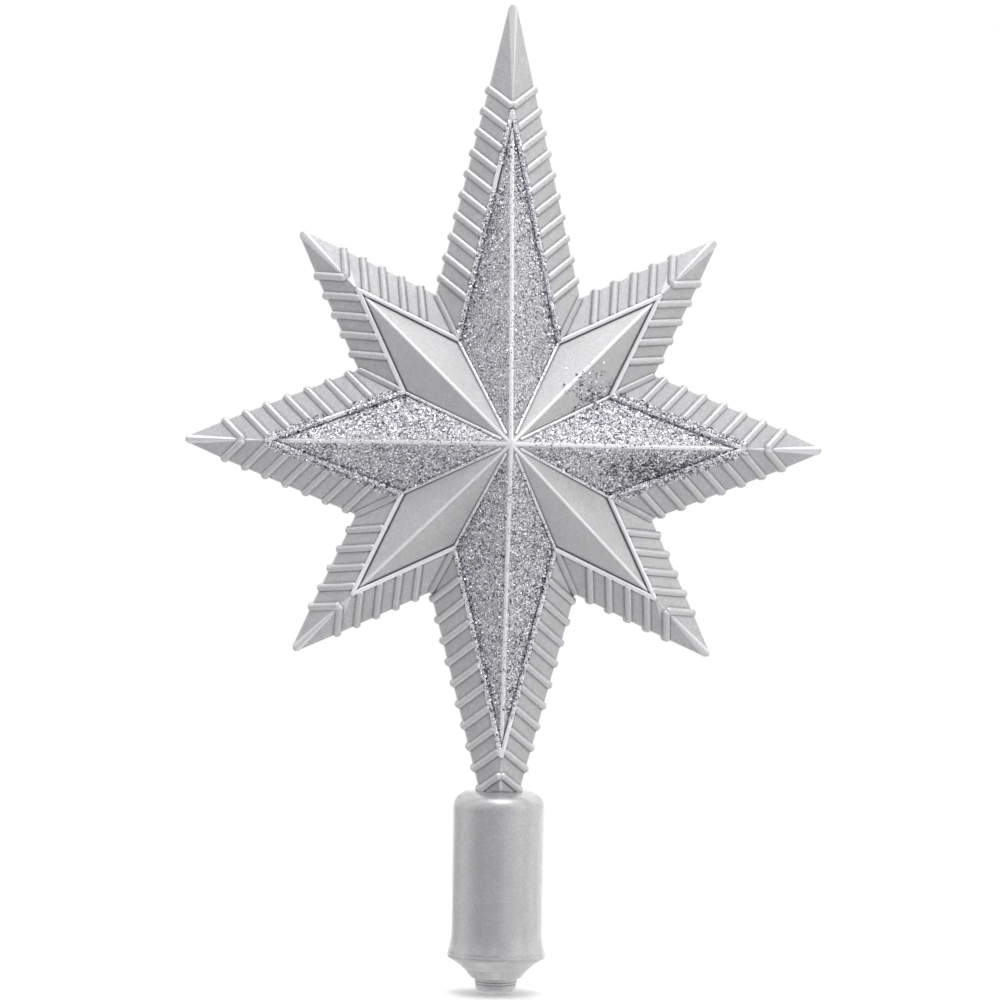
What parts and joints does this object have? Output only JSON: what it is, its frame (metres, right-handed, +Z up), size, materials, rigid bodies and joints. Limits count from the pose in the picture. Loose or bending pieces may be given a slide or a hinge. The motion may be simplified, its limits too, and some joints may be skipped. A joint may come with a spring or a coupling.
{
  "type": "tree topper star",
  "caption": "Two-sided moulded star tree topper with ribbed border, faceted glittered rays and a round socket for the tree's leader.",
  "frame": {"origin": "centre of the mouth of the socket, where the tree's leader goes in", "axes": "+Z up along the socket and the top and bottom rays, -Y towards the front of the star, +X towards its right-hand ray"},
  "size_m": [0.1848, 0.044, 0.2866],
  "materials": {
    "star_silver": "satin metallic silver paint on moulded plastic",
    "socket_silver": "satin metallic silver paint with fine sparkle",
    "glitter": "silver glitter flakes with a faint lilac cast, glued on"
  },
  "bodies": {
    "root": {"front_shell": "star_silver", "rear_shell": "star_silver", "socket_sleeve": "socket_silver", "socket_nose": "socket_silver", "glitter_front_top": "glitter", "glitter_front_right": "glitter", "glitter_front_bottom": "glitter", "glitter_front_left": "glitter", "glitter_rear_top": "glitter", "glitter_rear_right": "glitter", "glitter_rear_bottom": "glitter", "glitter_rear_left": "glitter"}
  },
  "joints": []
}
